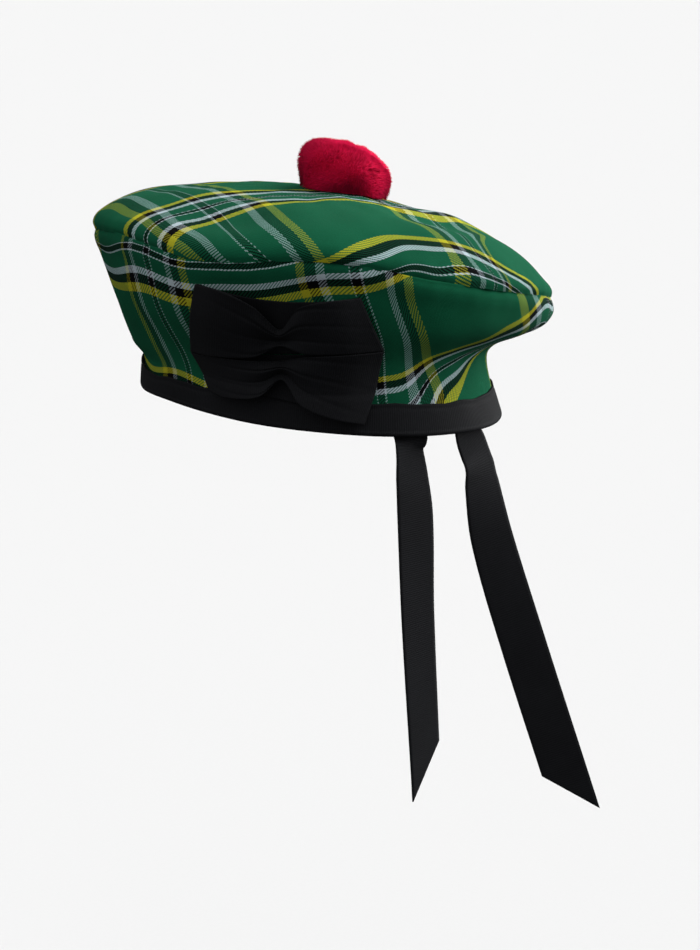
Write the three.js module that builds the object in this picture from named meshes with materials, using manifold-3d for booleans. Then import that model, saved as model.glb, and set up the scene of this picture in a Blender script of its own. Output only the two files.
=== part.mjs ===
// Balmoral bonnet: a soft tartan crown sewn from a round top and a flared side, bound with black
// ribbon, with a red wool toorie, a black ribbon bow on the wearer's left and two ribbon tails.
// Millimetres, +Z up. The wearer faces -Y and the wearer's left is +X. The origin is the middle
// of the head opening, in the plane of the binding's lower edge.
import * as THREE from 'three';
import { mergeVertices } from 'three/addons/utils/BufferGeometryUtils.js';
import loadManifold from 'manifold-3d';

// Driving dimensions
const OPENING_LENGTH = 195; // inside the binding, front to back
const OPENING_WIDTH = 164; // inside the binding, side to side
const CLOTH = 1.8; // milled wool
const RIBBON = 1.0; // ribbed ribbon, two layers of it where it is folded
const GAP = 0.3; // between pieces that touch
const BAND_HEIGHT = 16; // binding, lower edge to upper edge
const CROWN_HEIGHT = 110; // middle of the crown top above the opening
const AROUND = 60; // facets around the crown
const SIDE_ROWS = 12; // facets up the crown side, seam to binding
const TOP_ROWS = 11; // facets from the seam to the middle of the top

// Sections of the crown. azimuth: degrees from the wearer's left toward the back. dip: how far the
// binding hangs below the opening's plane. lean: how far its lower edge stands out beyond its upper
// edge. waist: where the side leaves the upright, waistOut beyond the binding. belly: the widest
// stretch of the underside. seam: the join of side and top. fullness: how plump the top is near the
// seam. slope: how straight it falls from the middle to the seam.
const SECTION_COLUMNS = [
  'azimuth', 'dip', 'lean', 'waistOut', 'waistZ', 'bellyR', 'bellyZ', 'seamR', 'seamZ', 'fullness', 'slope',
];
const SECTIONS = [
  [-54, 0, 0, 7.5, 25, 113, 54, 123.5, 82, 3.6, 0],
  [-24, 0, 0, 6, 28, 112, 55, 122, 86, 3.6, 0],
  [6, 1, 1, 5, 30, 106, 54, 118, 80.5, 3.4, 0],
  [36, 2, 2, 4, 30, 104, 55, 116, 85, 3.6, 0],
  [66, 3, 4, 1, 33, 108, 52, 117, 77, 3.2, 0],
  [96, 2.5, 6, -2, 34, 115, 50, 119, 69, 2.8, 0.06],
  [126, 1, 6, -3, 34, 118, 50, 119.5, 61, 2.5, 0.18],
  [171, 0, 4, -2, 32, 116, 47, 119, 59, 2.3, 0.2],
  [216, 0, 2, 1, 29, 114, 47, 119, 62, 2.4, 0.1],
  [261, 0, 1, 4, 27, 114, 50, 122, 73, 3.0, 0],
].map((row) => Object.fromEntries(row.map((value, i) => [SECTION_COLUMNS[i], value])));

// Soft dents of the crown top. share: the way out from the middle to the seam. spread: degrees around.
// reach: how much of the share it takes up. A depth below zero is a bulge.
const DENTS = [
  { azimuth: 2, share: 0.83, spread: 24, reach: 0.13, depth: 4 },
  { azimuth: 70, share: 0.84, spread: 26, reach: 0.15, depth: -2.5 },
  { azimuth: 106, share: 0.33, spread: 40, reach: 0.14, depth: 3.5 },
  { azimuth: 90, share: 0.62, spread: 22, reach: 0.14, depth: 5 },
  { azimuth: 118, share: 0.55, spread: 20, reach: 0.16, depth: -1.5 },
];

// Bow: heights of the edges of each loop's front leaf, and how far it puffs out, along the wall
const BOW_AZIMUTH = 25;
const UPPER_LOOP = [
  { along: -50.5, low: 30.5, high: 68.5, puff: 3.5 },
  { along: -32, low: 31.5, high: 68, puff: 10 },
  { along: -12, low: 34.5, high: 61, puff: 11 },
  { along: 0, low: 41, high: 49.5, puff: 5.5 },
  { along: 12, low: 39, high: 62, puff: 11 },
  { along: 30, low: 40, high: 67, puff: 10 },
  { along: 47.5, low: 41.5, high: 68.5, puff: 3.5 },
];
const LOWER_LOOP = [
  { along: -50.5, low: 12, high: 30, puff: 3.5 },
  { along: -32, low: 11, high: 31, puff: 9 },
  { along: -12, low: 14, high: 32, puff: 10 },
  { along: 0, low: 23, high: 33, puff: 5.5 },
  { along: 12, low: 12.5, high: 37, puff: 11 },
  { along: 30, low: 6.5, high: 39.5, puff: 10 },
  { along: 47.5, low: 3.5, high: 41, puff: 3.5 },
];
const BOW_SEAT = 1.0; // middle of the back leaf, out from the wall
const BOW_TAPER = 0.2; // how much shorter a loop is along its outer edge than along the crease
const BOW_SAG = 4.5; // dip of the back leaf's edge between the lobes
const BOW_FOLD = { along: 1.2, out: 2.4 }; // how far the fold at each end stands past the front leaf, and out
const GATHER = 1.6; // depth of the gathers at the pinch
const GATHER_REACH = 14; // how far along the loop they run
const GATHER_WAVES = 1.5; // folds across the ribbon
const BAND_STEP = { in: 3, up: 12 }; // how the bow's bed eases back from the binding to the wall above it

// Tails: where each is sewn inside the binding, how much longer its right edge is than its left where
// it is cut, and the middle of the ribbon as it hangs. facing: the azimuth that its face looks toward.
const TAIL_WIDTH = 24;
const TAIL_TUCK = 12; // how far a tail reaches up inside the binding
const TAIL_BOW = 1.8; // how far a flat ribbon's middle stands off the curved inside of the binding
const LEFT_TAIL = {
  sewnAt: 67,
  cut: -26,
  hang: [
    { x: 36.8, y: 85.6, z: -10, facing: 84 },
    { x: 36.3, y: 86.6, z: -18, facing: 88 },
    { x: 33.7, y: 89.7, z: -45, facing: 79 },
    { x: 31, y: 93.5, z: -95, facing: 83 },
    { x: 25.2, y: 101.2, z: -178, facing: 88 },
  ],
};
const RIGHT_TAIL = {
  sewnAt: 90,
  cut: 25,
  hang: [
    { x: -5.3, y: 95.9, z: -14, facing: 80 },
    { x: -7.6, y: 99.1, z: -22, facing: 88 },
    { x: -8.6, y: 100.5, z: -31, facing: 81 },
    { x: -13.3, y: 106.4, z: -60, facing: 63 },
    { x: -24.7, y: 122.3, z: -113, facing: 48 },
    { x: -43.4, y: 148.1, z: -194, facing: 40 },
  ],
};

// Toorie: a flattened ball of wool that leans with the crown's slope, with a fuller clump on one side
const TOORIE_WIDTH = 50.5;
const TOORIE_UP = 16; // from its widest level to its top
const TOORIE_DOWN = 26; // and down to the middle of its base, which the crown cuts off
const TOORIE_MIDDLE = { x: -3.7, y: 5.4, rise: 9 }; // rise above the middle of the crown top
const TOORIE_CLUMP = { azimuth: -54, elevation: 29, spread: 28, size: 2.9 };
const TOORIE_LEAN = 16; // degrees, toward TOORIE_LEAN_AZIMUTH
const TOORIE_LEAN_AZIMUTH = 126;
const LOCK_COUNT = 38;
const LOCK_RADIUS = 5.6;
const LOCK_DEPTH = 0.7; // share of a lock's radius that stands out of the core
const LOCK_SPAN = 1.6; // how far down the core the locks reach, where 2 is all the way

const { degToRad, clamp, lerp, smoothstep, euclideanModulo } = THREE.MathUtils;

// A value between the rows of a table, smooth through every row. With a period, the last row leads
// back to the first.
function between(rows, key, column, at, period = 0) {
  const count = rows.length;
  const turn = (i) => Math.floor(i / count);
  const row = (i) => rows[period ? i - turn(i) * count : clamp(i, 0, count - 1)];
  const x = (i) => row(i)[key] + turn(i) * period;
  const y = (i) => row(i)[column];
  const slope = (i) => {
    const run = x(i + 1) - x(i - 1);
    return (y(i + 1) - y(i - 1)) / run;
  };
  const place = period ? x(0) + euclideanModulo(at - x(0), period) : at;
  const lastSpan = period ? count - 1 : count - 2;
  let i = 0;
  while (i < lastSpan && x(i + 1) <= place) i += 1;
  const span = x(i + 1) - x(i);
  const t = clamp((place - x(i)) / span, 0, 1);
  const rise = y(i + 1) - y(i);
  const bendStart = slope(i) * span - rise;
  const bendEnd = rise - slope(i + 1) * span;
  return y(i) + rise * t + t * (1 - t) * (bendStart * (1 - t) + bendEnd * t);
}

// A thin solid between two facing grids of points. ring joins the last column to the first, and pole
// says that the last points of all columns are one point.
function sheet(outer, inner, { ring = false, pole = false } = {}) {
  const columns = outer.length;
  const rows = outer[0].length;
  const corners = [];
  const triangle = (a, b, c) => corners.push(a, b, c);
  const quad = (a, b, c, d) => {
    triangle(a, b, c);
    if (c !== d) triangle(a, c, d);
  };
  const spans = ring ? columns : columns - 1;
  for (let i = 0; i < spans; i += 1) {
    const k = (i + 1) % columns;
    for (let j = 0; j < rows - 1; j += 1) {
      const tip = pole && j === rows - 2;
      quad(outer[i][j], outer[k][j], outer[k][j + 1], tip ? outer[k][j + 1] : outer[i][j + 1]);
      quad(inner[k][j], inner[i][j], inner[i][j + 1], tip ? inner[i][j + 1] : inner[k][j + 1]);
    }
    quad(outer[k][0], outer[i][0], inner[i][0], inner[k][0]);
    if (!pole) quad(outer[i][rows - 1], outer[k][rows - 1], inner[k][rows - 1], inner[i][rows - 1]);
  }
  if (!ring) {
    const last = columns - 1;
    for (let j = 0; j < rows - 1; j += 1) {
      quad(outer[0][j], outer[0][j + 1], inner[0][j + 1], inner[0][j]);
      quad(outer[last][j + 1], outer[last][j], inner[last][j], inner[last][j + 1]);
    }
  }
  return mergeVertices(new THREE.BufferGeometry().setFromPoints(corners), 1e-4);
}

const group = new THREE.Group();
function addPiece(name, geometry, color, roughness) {
  geometry.computeVertexNormals();
  const material = new THREE.MeshStandardMaterial({ color, roughness, metalness: 0 });
  const mesh = new THREE.Mesh(geometry, material);
  mesh.name = name;
  group.add(mesh);
}
const WOOL_GREEN = 0x1f6a48;
const RIBBON_BLACK = 0x16171a;
const TOORIE_RED = 0xb4002c;

// A point from its azimuth, radius and height
function spot(azimuth, radius, height) {
  const turn = degToRad(azimuth);
  return new THREE.Vector3(radius * Math.cos(turn), radius * Math.sin(turn), height);
}

// Binding: its outer face is an ellipse around the head that leans out toward its lower edge
const BAND_WALL = 2 * RIBBON + 2 * GAP + CLOTH;
const section = (azimuth, column) => between(SECTIONS, 'azimuth', column, azimuth, 360);
function bandRadius(azimuth, height) {
  const turn = degToRad(azimuth);
  const across = OPENING_WIDTH / 2 + BAND_WALL;
  const along = OPENING_LENGTH / 2 + BAND_WALL;
  const ellipse = 1 / Math.hypot(Math.cos(turn) / across, Math.sin(turn) / along);
  const lean = section(azimuth, 'lean');
  return ellipse - lean * clamp(height / BAND_HEIGHT, 0, 1);
}

// The crown's outer profile at one azimuth, as [radius, height] pairs: side from the binding up to
// the seam, then top from the seam to the middle.
const clothRadius = (azimuth, height) => bandRadius(azimuth, height) - RIBBON - GAP;
function sideProfile(azimuth) {
  const bandTop = clothRadius(azimuth, BAND_HEIGHT);
  const dip = section(azimuth, 'dip');
  const stations = [
    { r: clothRadius(azimuth, RIBBON + GAP), z: RIBBON + GAP - dip },
    { r: bandTop, z: BAND_HEIGHT - dip },
    { r: bandTop + section(azimuth, 'waistOut'), z: section(azimuth, 'waistZ') },
    { r: section(azimuth, 'bellyR'), z: section(azimuth, 'bellyZ') },
    { r: section(azimuth, 'seamR'), z: section(azimuth, 'seamZ') },
  ];
  let length = 0;
  stations.forEach((station, i) => {
    if (i > 0) length += Math.hypot(station.r - stations[i - 1].r, station.z - stations[i - 1].z);
    station.length = length;
  });
  const inBand = stations[1].length;
  const places = [0];
  for (let j = 0; j < SIDE_ROWS; j += 1) places.push(lerp(inBand, length, j / (SIDE_ROWS - 1)));
  return places.map((at) => ['r', 'z'].map((column) => between(stations, 'length', column, at)));
}
function dent(azimuth, share) {
  let depth = 0;
  for (const row of DENTS) {
    const turn = euclideanModulo(azimuth - row.azimuth + 180, 360) - 180;
    const away = Math.hypot(turn / row.spread, (share - row.share) / row.reach);
    depth += row.depth * Math.exp(-away * away);
  }
  return depth * (1 - share ** 12);
}
function topProfile(azimuth) {
  const seamR = section(azimuth, 'seamR');
  const seamZ = section(azimuth, 'seamZ');
  const fullness = section(azimuth, 'fullness');
  const slope = section(azimuth, 'slope');
  const profile = [];
  for (let j = 0; j < TOP_ROWS; j += 1) {
    const t = Math.cos((Math.PI / 2) * (j / (TOP_ROWS - 1)));
    const round = Math.pow(1 - Math.pow(t, fullness), 1 / (0.55 * fullness));
    const z = lerp(seamZ, CROWN_HEIGHT, lerp(round, 1 - t, slope));
    profile.push([seamR * t, z - dent(azimuth, t)]);
  }
  return profile;
}

// Both walls of the crown at one azimuth, mitred at the seam and held apart there by the gap
function crownWalls(azimuth) {
  const side = sideProfile(azimuth);
  const top = topProfile(azimuth);
  const line = [...side, ...top.slice(1)];
  const seam = side.length - 1;
  const walls = line.map(([r, z], j) => {
    const before = line[Math.max(j - 1, 0)];
    const after = line[Math.min(j + 1, line.length - 1)];
    const inBinding = j < 2;
    const run = new THREE.Vector2(inBinding ? 0 : after[0] - before[0], after[1] - before[1]);
    run.normalize();
    return { r, z, run, inR: r - run.y * CLOTH, inZ: z + run.x * CLOTH };
  });
  const shifted = (wall, by) => ({
    r: wall.r + wall.run.x * by,
    z: wall.z + wall.run.y * by,
    inR: wall.inR + wall.run.x * by,
    inZ: wall.inZ + wall.run.y * by,
  });
  const sideWalls = walls.slice(0, seam + 1);
  sideWalls[seam] = shifted(walls[seam], -GAP / 2);
  const topWalls = walls.slice(seam);
  topWalls[0] = shifted(walls[seam], GAP / 2);
  return { sideWalls, topWalls };
}

const sideOuter = [];
const sideInner = [];
const topOuter = [];
const topInner = [];
const outerPole = new THREE.Vector3(0, 0, CROWN_HEIGHT);
const innerPole = new THREE.Vector3(0, 0, CROWN_HEIGHT - CLOTH);
for (let i = 0; i < AROUND; i += 1) {
  const azimuth = (360 * i) / AROUND;
  const { sideWalls, topWalls } = crownWalls(azimuth);
  sideOuter.push(sideWalls.map((wall) => spot(azimuth, wall.r, wall.z)));
  sideInner.push(sideWalls.map((wall) => spot(azimuth, wall.inR, wall.inZ)));
  topWalls.pop();
  topOuter.push([...topWalls.map((wall) => spot(azimuth, wall.r, wall.z)), outerPole]);
  topInner.push([...topWalls.map((wall) => spot(azimuth, wall.inR, wall.inZ)), innerPole]);
}
addPiece('crown_side', sheet(sideOuter, sideInner, { ring: true }), WOOL_GREEN, 0.9);
addPiece('crown_top', sheet(topOuter, topInner, { ring: true, pole: true }), WOOL_GREEN, 0.9);

// Binding: an outer leaf, a fold along the lower edge and an inner leaf, open at the top for the cloth
const foldOuter = [];
const foldInner = [];
for (let i = 0; i < AROUND; i += 1) {
  const azimuth = (360 * i) / AROUND;
  const dip = section(azimuth, 'dip');
  const at = (inset, height) => spot(azimuth, bandRadius(azimuth, height) - inset, height - dip);
  const bend = 0.8; // rounding of the fold
  foldOuter.push([
    at(BAND_WALL, BAND_HEIGHT),
    at(BAND_WALL, bend),
    at(BAND_WALL - bend, 0),
    at(bend, 0),
    at(0, bend),
    at(0, BAND_HEIGHT),
  ]);
  foldInner.push([
    at(BAND_WALL - RIBBON, BAND_HEIGHT),
    at(BAND_WALL - RIBBON, RIBBON + 0.1),
    at(BAND_WALL - RIBBON - 0.1, RIBBON),
    at(RIBBON + 0.1, RIBBON),
    at(RIBBON, RIBBON + 0.1),
    at(RIBBON, BAND_HEIGHT),
  ]);
}
addPiece('headband', sheet(foldOuter, foldInner, { ring: true }), RIBBON_BLACK, 0.7);

// Bow: each ribbon is a closed loop, flat behind and pinched in front, laid on the wall and binding
function bedRadius(azimuth, height) {
  const profile = sideProfile(azimuth);
  let j = 0;
  while (j < profile.length - 2 && profile[j + 1][1] < height) j += 1;
  const [r0, z0] = profile[j];
  const [r1, z1] = profile[j + 1];
  const wall = lerp(r0, r1, clamp((height - z0) / (z1 - z0), 0, 1));
  const upBand = height + section(azimuth, 'dip');
  const back = BAND_STEP.in * smoothstep(upBand, BAND_HEIGHT, BAND_HEIGHT + BAND_STEP.up);
  return Math.max(wall, bandRadius(azimuth, upBand) - back);
}
function bowLoop(table, upward) {
  const first = table[0];
  const last = table[table.length - 1];
  const path = [];
  const addFront = (along) => path.push({
    along,
    front: true,
    out: between(table, 'along', 'puff', along),
    low: between(table, 'along', 'low', along),
    high: between(table, 'along', 'high', along),
  });
  const addBack = (along, out) => {
    const share = (along - first.along) / (last.along - first.along);
    const sag = 4 * BOW_SAG * share * (1 - share);
    const low = lerp(first.low, last.low, share) + (upward ? 0 : sag);
    const high = lerp(first.high, last.high, share) - (upward ? sag : 0);
    path.push({ along, front: false, out, low, high });
  };
  const FRONT = 18;
  const BACK = 12;
  for (let i = 0; i <= FRONT; i += 1) {
    addFront(lerp(first.along, last.along, 0.5 - 0.5 * Math.cos((Math.PI * i) / FRONT)));
  }
  addBack(last.along + BOW_FOLD.along, BOW_FOLD.out);
  for (let i = 0; i <= BACK; i += 1) {
    addBack(lerp(last.along, first.along, i / BACK), BOW_SEAT);
  }
  addBack(first.along - BOW_FOLD.along, BOW_FOLD.out);
  const ACROSS = 7;
  const outer = [];
  const inner = [];
  path.forEach((here, i) => {
    const before = path[(i + path.length - 1) % path.length];
    const after = path[(i + 1) % path.length];
    const run = new THREE.Vector2(after.along - before.along, after.out - before.out).normalize();
    const columnOuter = [];
    const columnInner = [];
    for (let j = 0; j < ACROSS; j += 1) {
      const across = j / (ACROSS - 1);
      const height = lerp(here.low, here.high, across);
      const taper = 1 - BOW_TAPER * (upward ? across : 1 - across);
      const nearPinch = here.front ? Math.exp(-((here.along / GATHER_REACH) ** 2)) : 0;
      const fold = GATHER * nearPinch * Math.cos(2 * Math.PI * GATHER_WAVES * across);
      const girth = bedRadius(BOW_AZIMUTH, height);
      for (const [column, half] of [[columnOuter, RIBBON / 2], [columnInner, -RIBBON / 2]]) {
        const along = taper * here.along - run.y * half;
        const out = here.out + fold + run.x * half;
        const azimuth = BOW_AZIMUTH + THREE.MathUtils.radToDeg(along / girth);
        column.push(spot(azimuth, bedRadius(azimuth, height) + out, height));
      }
    }
    outer.push(columnOuter);
    inner.push(columnInner);
  });
  return sheet(outer, inner, { ring: true });
}
addPiece('bow_upper', bowLoop(UPPER_LOOP, true), RIBBON_BLACK, 0.7);
addPiece('bow_lower', bowLoop(LOWER_LOOP, false), RIBBON_BLACK, 0.7);

// Tails: each hangs from inside the binding, turns a little and ends in a slanted cut
function tail({ sewnAt, cut, hang }) {
  const ahead = spot(sewnAt + 1, bandRadius(sewnAt + 1, 0), 0);
  const along = ahead.sub(spot(sewnAt - 1, bandRadius(sewnAt - 1, 0), 0));
  const facing = THREE.MathUtils.radToDeg(Math.atan2(-along.x, along.y));
  const inset = GAP + RIBBON / 2 + TAIL_BOW;
  const sewn = [TAIL_TUCK, -4].map((z) => {
    const leaf = spot(sewnAt, bandRadius(sewnAt, z + section(sewnAt, 'dip')) - BAND_WALL, z);
    const { x, y } = leaf.sub(spot(facing, inset, 0));
    return { x, y, z, facing };
  });
  const rows = [...sewn, ...hang].map((row) => ({ ...row, drop: TAIL_TUCK - row.z }));
  const end = rows[rows.length - 1].drop;
  const place = (drop) => {
    if (drop > end) return place(end).lerp(place(end - 1), end - drop);
    const [x, y, z] = ['x', 'y', 'z'].map((column) => between(rows, 'drop', column, drop));
    return new THREE.Vector3(x, y, z);
  };
  const STEPS = 26;
  const SIDES = [-1, 0, 1];
  const front = [];
  const back = [];
  for (const side of SIDES) {
    const reach = end + (side * cut) / 2;
    const columnFront = [];
    const columnBack = [];
    for (let i = 0; i <= STEPS; i += 1) {
      const drop = reach * (i / STEPS);
      const here = place(drop);
      const run = place(drop + 0.5).sub(place(Math.max(drop - 0.5, 0))).normalize();
      const look = degToRad(between(rows, 'drop', 'facing', Math.min(drop, end)));
      const face = new THREE.Vector3(Math.cos(look), Math.sin(look), 0);
      face.addScaledVector(run, -face.dot(run)).normalize();
      const across = new THREE.Vector3().crossVectors(run, face).negate();
      const middle = here.addScaledVector(across, side * (TAIL_WIDTH / 2));
      columnFront.push(middle.clone().addScaledVector(face, RIBBON / 2));
      columnBack.push(middle.clone().addScaledVector(face, -RIBBON / 2));
    }
    front.push(columnFront);
    back.push(columnBack);
  }
  return sheet(back, front);
}
addPiece('tail_left', tail(LEFT_TAIL), RIBBON_BLACK, 0.7);
addPiece('tail_right', tail(RIGHT_TAIL), RIBBON_BLACK, 0.7);

// Toorie: locks of wool fused to a core, seated on the crown top
const wasm = await loadManifold();
wasm.setup();
function toManifold(geometry) {
  const positions = new THREE.BufferGeometry().setAttribute('position', geometry.getAttribute('position'));
  positions.setIndex(geometry.getIndex());
  const merged = mergeVertices(positions, 1e-4);
  return new wasm.Manifold(new wasm.Mesh({
    numProp: 3,
    vertProperties: merged.getAttribute('position').array,
    triVerts: new Uint32Array(merged.getIndex().array),
  }));
}
function fromManifold(solid) {
  const mesh = solid.getMesh();
  const geometry = new THREE.BufferGeometry();
  geometry.setAttribute('position', new THREE.BufferAttribute(mesh.vertProperties, 3));
  geometry.setIndex(new THREE.BufferAttribute(mesh.triVerts, 1));
  return geometry;
}
const { x: toorieX, y: toorieY, rise: toorieRise } = TOORIE_MIDDLE;
const toorieMiddle = new THREE.Vector3(toorieX, toorieY, CROWN_HEIGHT + toorieRise);
const clumpTilt = degToRad(TOORIE_CLUMP.elevation);
const clumpWay = spot(TOORIE_CLUMP.azimuth, Math.cos(clumpTilt), Math.sin(clumpTilt));
// A point of the core, in from the clipped ball by the locks' depth
function corePoint(way) {
  const wide = Math.hypot(way.x, way.y) / (TOORIE_WIDTH / 2);
  const tall = way.z / (way.z > 0 ? TOORIE_UP : TOORIE_DOWN);
  const aside = way.angleTo(clumpWay) / degToRad(TOORIE_CLUMP.spread);
  const clump = TOORIE_CLUMP.size * Math.exp(-aside * aside);
  return way.clone().multiplyScalar(1 / Math.hypot(wide, tall) + clump - LOCK_DEPTH * LOCK_RADIUS);
}
const leanAxis = spot(TOORIE_LEAN_AZIMUTH + 90, 1, 0);
const lean = new THREE.Matrix4().makeRotationAxis(leanAxis, degToRad(TOORIE_LEAN));
lean.setPosition(toorieMiddle);
const ball = new THREE.IcosahedronGeometry(1, 2);
const core = mergeVertices(ball.deleteAttribute('normal').deleteAttribute('uv'));
const corePlaces = core.getAttribute('position');
for (let i = 0; i < corePlaces.count; i += 1) {
  const { x, y, z } = corePoint(new THREE.Vector3().fromBufferAttribute(corePlaces, i));
  corePlaces.setXYZ(i, x, y, z);
}
let toorie = toManifold(core.applyMatrix4(lean));
const GOLDEN_TURN = Math.PI * (3 - Math.sqrt(5));
for (let i = 0; i < LOCK_COUNT; i += 1) {
  const rise = 1 - (LOCK_SPAN * (i + 0.5)) / LOCK_COUNT;
  const ring = Math.sqrt(1 - rise * rise);
  const turn = i * GOLDEN_TURN;
  const outward = new THREE.Vector3(ring * Math.cos(turn), ring * Math.sin(turn), rise);
  const lock = new THREE.IcosahedronGeometry(LOCK_RADIUS, 0);
  const root = corePoint(outward).applyMatrix4(lean);
  lock.translate(root.x, root.y, root.z);
  toorie = toorie.add(toManifold(mergeVertices(lock.deleteAttribute('normal').deleteAttribute('uv'))));
}
const BED_DEPTH = 40;
const bedColumn = (column, by) => [...column.slice(3, -1), outerPole].map(
  (point) => point.clone().setZ(point.z + by),
);
const bed = sheet(
  topOuter.map((column) => bedColumn(column, GAP)),
  topOuter.map((column) => bedColumn(column, -BED_DEPTH)),
  { ring: true, pole: true },
);
addPiece('toorie', fromManifold(toorie.subtract(toManifold(bed))), TOORIE_RED, 0.95);

export default group;
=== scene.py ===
"""Balmoral bonnet: a soft tartan crown bound with black ribbon, with a red wool toorie, a ribbon bow on
the wearer's left and two ribbon tails. The wearer faces -Y, and the origin is the middle of the head
opening, in the plane of the binding's lower edge."""
import math

import bpy
import numpy as np
from mathutils import Matrix


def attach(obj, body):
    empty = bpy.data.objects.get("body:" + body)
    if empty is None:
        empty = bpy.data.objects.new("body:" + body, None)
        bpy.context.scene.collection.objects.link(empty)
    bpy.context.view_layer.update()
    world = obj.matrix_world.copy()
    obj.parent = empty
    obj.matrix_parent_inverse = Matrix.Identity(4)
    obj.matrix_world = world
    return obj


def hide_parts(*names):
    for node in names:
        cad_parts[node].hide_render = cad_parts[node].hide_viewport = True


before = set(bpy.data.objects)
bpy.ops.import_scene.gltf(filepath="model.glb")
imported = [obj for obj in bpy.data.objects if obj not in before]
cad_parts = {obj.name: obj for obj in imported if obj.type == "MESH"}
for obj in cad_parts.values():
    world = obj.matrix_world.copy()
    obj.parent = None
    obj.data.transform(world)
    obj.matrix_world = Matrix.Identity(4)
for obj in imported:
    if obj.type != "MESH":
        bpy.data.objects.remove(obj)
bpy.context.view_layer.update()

# Crown side
# The flared side of the crown, one strip of milled wool tartan cut on a curve. Its wide edge is sewn to
# the round top, its narrow edge is held in the ribbon binding, and its ends meet in a join behind.
MM = 0.001  # sizes are millimetres, apart from those of the studio
OPENING_LENGTH = 195
OPENING_WIDTH = 164
CLOTH = 1.8
RIBBON = 1.0
GAP = 0.3
BAND_HEIGHT = 16
BAND_WALL = 2 * RIBBON + 2 * GAP + CLOTH
AROUND = 420  # facets around the crown


def table(columns, rows):
    """A short table as one array for each named column."""
    return dict(zip(columns.split(), np.array(rows, float).T))


# Sections of the crown by azimuth: degrees from the wearer's left toward the back. dip: how far the
# binding hangs below its plane. lean: how far its lower edge stands out. waist, belly and seam: places
# down the side. fullness and slope: how plump the top is, and how straight it falls to the seam.
SECTIONS = table("azimuth dip lean waist_out waist_z belly_r belly_z seam_r seam_z fullness slope", [
    (-54, 0, 0, 7.5, 25, 113, 54, 123.5, 82, 3.6, 0),
    (-24, 0, 0, 6, 28, 112, 55, 122, 86, 3.6, 0),
    (6, 1, 1, 5, 30, 106, 54, 118, 80.5, 3.4, 0),
    (36, 2, 2, 4, 30, 104, 55, 116, 85, 3.6, 0),
    (66, 3, 4, 1, 33, 108, 52, 117, 77, 3.2, 0),
    (96, 2.5, 6, -2, 34, 115, 50, 119, 69, 2.8, 0.06),
    (126, 1, 6, -3, 34, 118, 50, 119.5, 61, 2.5, 0.18),
    (171, 0, 4, -2, 32, 116, 47, 119, 59, 2.3, 0.2),
    (216, 0, 2, 1, 29, 114, 47, 119, 62, 2.4, 0.1),
    (261, 0, 1, 4, 27, 114, 50, 122, 73, 3.0, 0),
])


def smooth_line(x, y, at):
    """Values at places on a smooth line through points x, y. Each column is a line of its own."""
    x = np.broadcast_to(x, (len(x), at.shape[1]))
    y = np.broadcast_to(y, x.shape)
    run = np.vstack([x[1:], x[-1:]]) - np.vstack([x[:1], x[:-1]])
    slope = (np.vstack([y[1:], y[-1:]]) - np.vstack([y[:1], y[:-1]])) / run
    i = np.clip((at[:, None] >= x[None]).sum(1) - 1, 0, len(x) - 2)
    start, end = (np.take_along_axis(x, k, 0) for k in (i, i + 1))
    low, high = (np.take_along_axis(y, k, 0) for k in (i, i + 1))
    slope_start, slope_end = (np.take_along_axis(slope, k, 0) for k in (i, i + 1))
    span = end - start
    t = np.clip((at - start) / span, 0, 1)
    rise = high - low
    bend = (slope_start * span - rise) * (1 - t) + (rise - slope_end * span) * t
    return low + rise * t + t * (1 - t) * bend


def between(rows, key, column, at):
    """A column of a table at places between its rows."""
    at = np.asarray(at, float)
    return smooth_line(rows[key][:, None], rows[column][:, None], at.reshape(-1, 1)).reshape(at.shape)


def section(azimuth, column):
    """A column of SECTIONS at any azimuth, with the last row leading back to the first."""
    first = SECTIONS["azimuth"][0]
    turns = {"azimuth": np.concatenate([SECTIONS["azimuth"] + turn for turn in (-360, 0, 360)]),
             column: np.tile(SECTIONS[column], 3)}
    return between(turns, "azimuth", column, first + (np.asarray(azimuth, float) - first) % 360)


def spot(azimuth, radius, height):
    """Points from their azimuths, radii and heights."""
    turn = np.radians(azimuth)
    return np.stack(np.broadcast_arrays(radius * np.cos(turn), radius * np.sin(turn), height), -1)


def band_radius(azimuth, height):
    """Outer face of the binding: an ellipse around the head that leans out toward its lower edge."""
    turn = np.radians(azimuth)
    across = OPENING_WIDTH / 2 + BAND_WALL
    along = OPENING_LENGTH / 2 + BAND_WALL
    ellipse = 1 / np.hypot(np.cos(turn) / across, np.sin(turn) / along)
    return ellipse - section(azimuth, "lean") * np.clip(height / BAND_HEIGHT, 0, 1)


def side_line(azimuth, share):
    """Radius and height of the side by azimuth (columns) and share of the way from the seam to the
    binding (rows), where shares over 1 lie inside the binding."""
    foot = RIBBON + GAP
    top = band_radius(azimuth, BAND_HEIGHT) - foot
    dip = section(azimuth, "dip")
    radius = np.array([
        section(azimuth, "seam_r"),
        section(azimuth, "belly_r"),
        top + section(azimuth, "waist_out"),
        top,
        band_radius(azimuth, foot) - foot,
    ])
    height = np.array([
        section(azimuth, "seam_z"),
        section(azimuth, "belly_z"),
        section(azimuth, "waist_z"),
        BAND_HEIGHT - dip,
        foot - dip,
    ])
    steps = np.hypot(np.diff(radius, axis=0), np.diff(height, axis=0))
    length = np.vstack([np.zeros_like(top), np.cumsum(steps, 0)])
    shares = np.asarray(share, float).reshape(-1, 1)
    inside = np.clip(shares - 1, 0, 1) * steps[-1]
    at = np.clip(shares, 0, 1) * length[-2] + inside
    return smooth_line(length, radius, at), smooth_line(length, height, at)


def run_along(radius, height):
    """How far along the cloth each row lies from the first."""
    steps = np.hypot(np.diff(radius, axis=0), np.diff(height, axis=0))
    return np.vstack([np.zeros((1, radius.shape[1])), np.cumsum(steps, 0)])


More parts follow.
